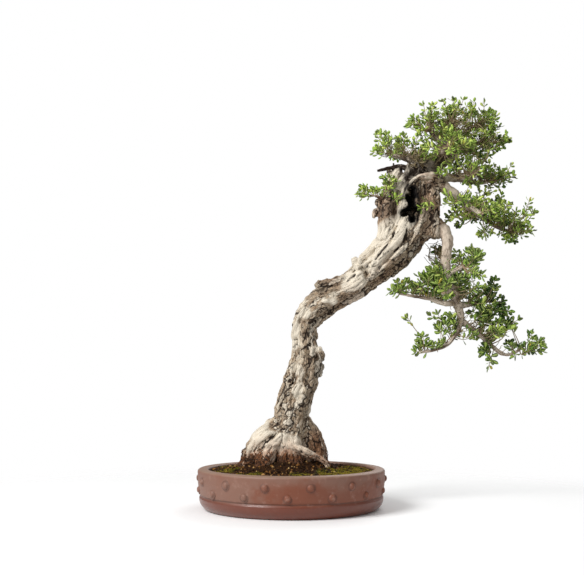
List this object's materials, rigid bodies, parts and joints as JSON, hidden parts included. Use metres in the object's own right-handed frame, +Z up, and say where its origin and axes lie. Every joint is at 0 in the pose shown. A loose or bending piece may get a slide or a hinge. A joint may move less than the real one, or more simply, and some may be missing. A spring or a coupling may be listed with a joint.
{
  "type": "potted bonsai tree",
  "caption": "Leaning olive bonsai with a gnarled hollow trunk and leafy pads, one hanging low beside it, in a round shallow studded drum pot.",
  "frame": {"origin": "middle of the pot's flat underside, on the surface that it stands on", "axes": "+Z up, -Y the front that the picture shows, +X the side that the tree leans to"},
  "size_m": [0.6016, 0.3236, 0.7215],
  "materials": {
    "stoneware": "satin",
    "drain_mesh": "matte",
    "soil": "matte",
    "bark": "matte",
    "foliage": "matte"
  },
  "bodies": {
    "root": {"pot": "stoneware", "drain_mesh_left": "drain_mesh", "drain_mesh_right": "drain_mesh", "soil": "soil", "trunk": "bark", "spray_leader_1": "foliage", "spray_leader_left_1": "foliage", "spray_leader_left_2": "foliage", "spray_leader_right_1": "foliage", "spray_leader_right_2": "foliage", "spray_leader_front_1": "foliage", "spray_leader_back_1": "foliage", "spray_upper_left_1": "foliage", "spray_upper_left_2": "foliage", "spray_upper_left_back_1": "foliage", "spray_upper_right_1": "foliage", "spray_upper_right_2": "foliage", "spray_upper_right_back_1": "foliage", "spray_mid_1": "foliage", "spray_mid_2": "foliage", "spray_mid_front_1": "foliage", "spray_lower_1": "foliage", "spray_lower_2": "foliage", "spray_lower_3": "foliage", "spray_lower_4": "foliage", "spray_lower_front_1": "foliage", "spray_lower_back_1": "foliage", "spray_left_pad_1": "foliage", "spray_left_pad_2": "foliage", "spray_cascade_shoulder_1": "foliage", "spray_cascade_1": "foliage", "spray_cascade_left_1": "foliage", "spray_cascade_left_2": "foliage", "spray_cascade_front_1": "foliage", "spray_cascade_back_1": "foliage", "spray_cascade_upper_right_1": "foliage", "spray_cascade_right_1": "foliage", "spray_cascade_right_2": "foliage", "spray_cascade_right_3": "foliage", "spray_cascade_2": "foliage", "spray_cascade_3": "foliage"}
  },
  "joints": []
}
